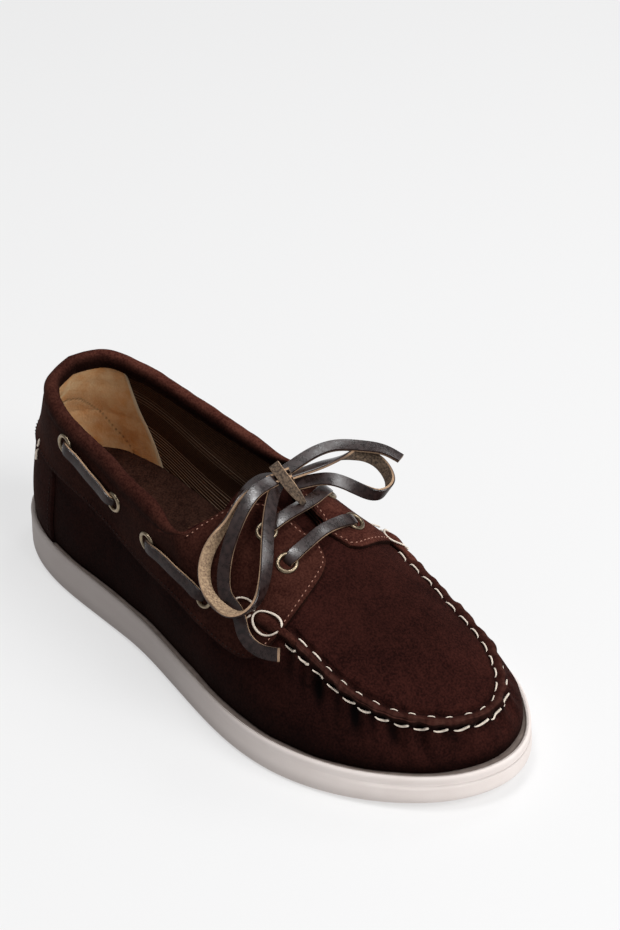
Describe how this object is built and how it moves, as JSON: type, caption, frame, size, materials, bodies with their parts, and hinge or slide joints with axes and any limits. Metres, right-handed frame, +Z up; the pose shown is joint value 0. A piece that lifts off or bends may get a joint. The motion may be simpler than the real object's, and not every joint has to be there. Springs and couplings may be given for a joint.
{
  "type": "boat shoe",
  "caption": "Right boat shoe: moccasin-toe suede upper with a wraparound leather lace tied in a bow, brass eyelets and a pale rubber unit sole.",
  "frame": {"origin": "on the floor under the middle of the shoe's bounding box", "axes": "+X from heel to toe, +Y to the wearer's inner side of this right shoe, +Z up"},
  "size_m": [0.2958, 0.1174, 0.1025],
  "materials": {
    "suede": "napped dark brown suede",
    "sole_rubber": "matte pale rubber",
    "sock": "dark brown sock suede",
    "brass": "antiqued brass",
    "lace": "waxed dark leather thong"
  },
  "bodies": {
    "root": {"outsole": "sole_rubber", "insole": "sock", "upper": "suede", "tongue": "suede", "quarter_outer": "suede", "quarter_inner": "suede", "back_stay": "suede", "collar_roll": "suede", "eyelet_outer_1": "brass", "eyelet_outer_2": "brass", "eyelet_outer_3": "brass", "eyelet_outer_4": "brass", "eyelet_outer_5": "brass", "eyelet_outer_6": "brass", "eyelet_inner_1": "brass", "eyelet_inner_2": "brass", "eyelet_inner_3": "brass", "eyelet_inner_4": "brass", "eyelet_inner_5": "brass", "eyelet_inner_6": "brass", "lace_run_outer_rear": "lace", "lace_run_outer_front": "lace", "lace_run_inner_rear": "lace", "lace_run_inner_front": "lace", "lace_bar_front": "lace", "lace_bar_rear": "lace", "lace_knot": "lace", "lace_loop_outer": "lace", "lace_loop_inner": "lace", "lace_end_outer": "lace", "lace_end_inner": "lace"}
  },
  "joints": []
}
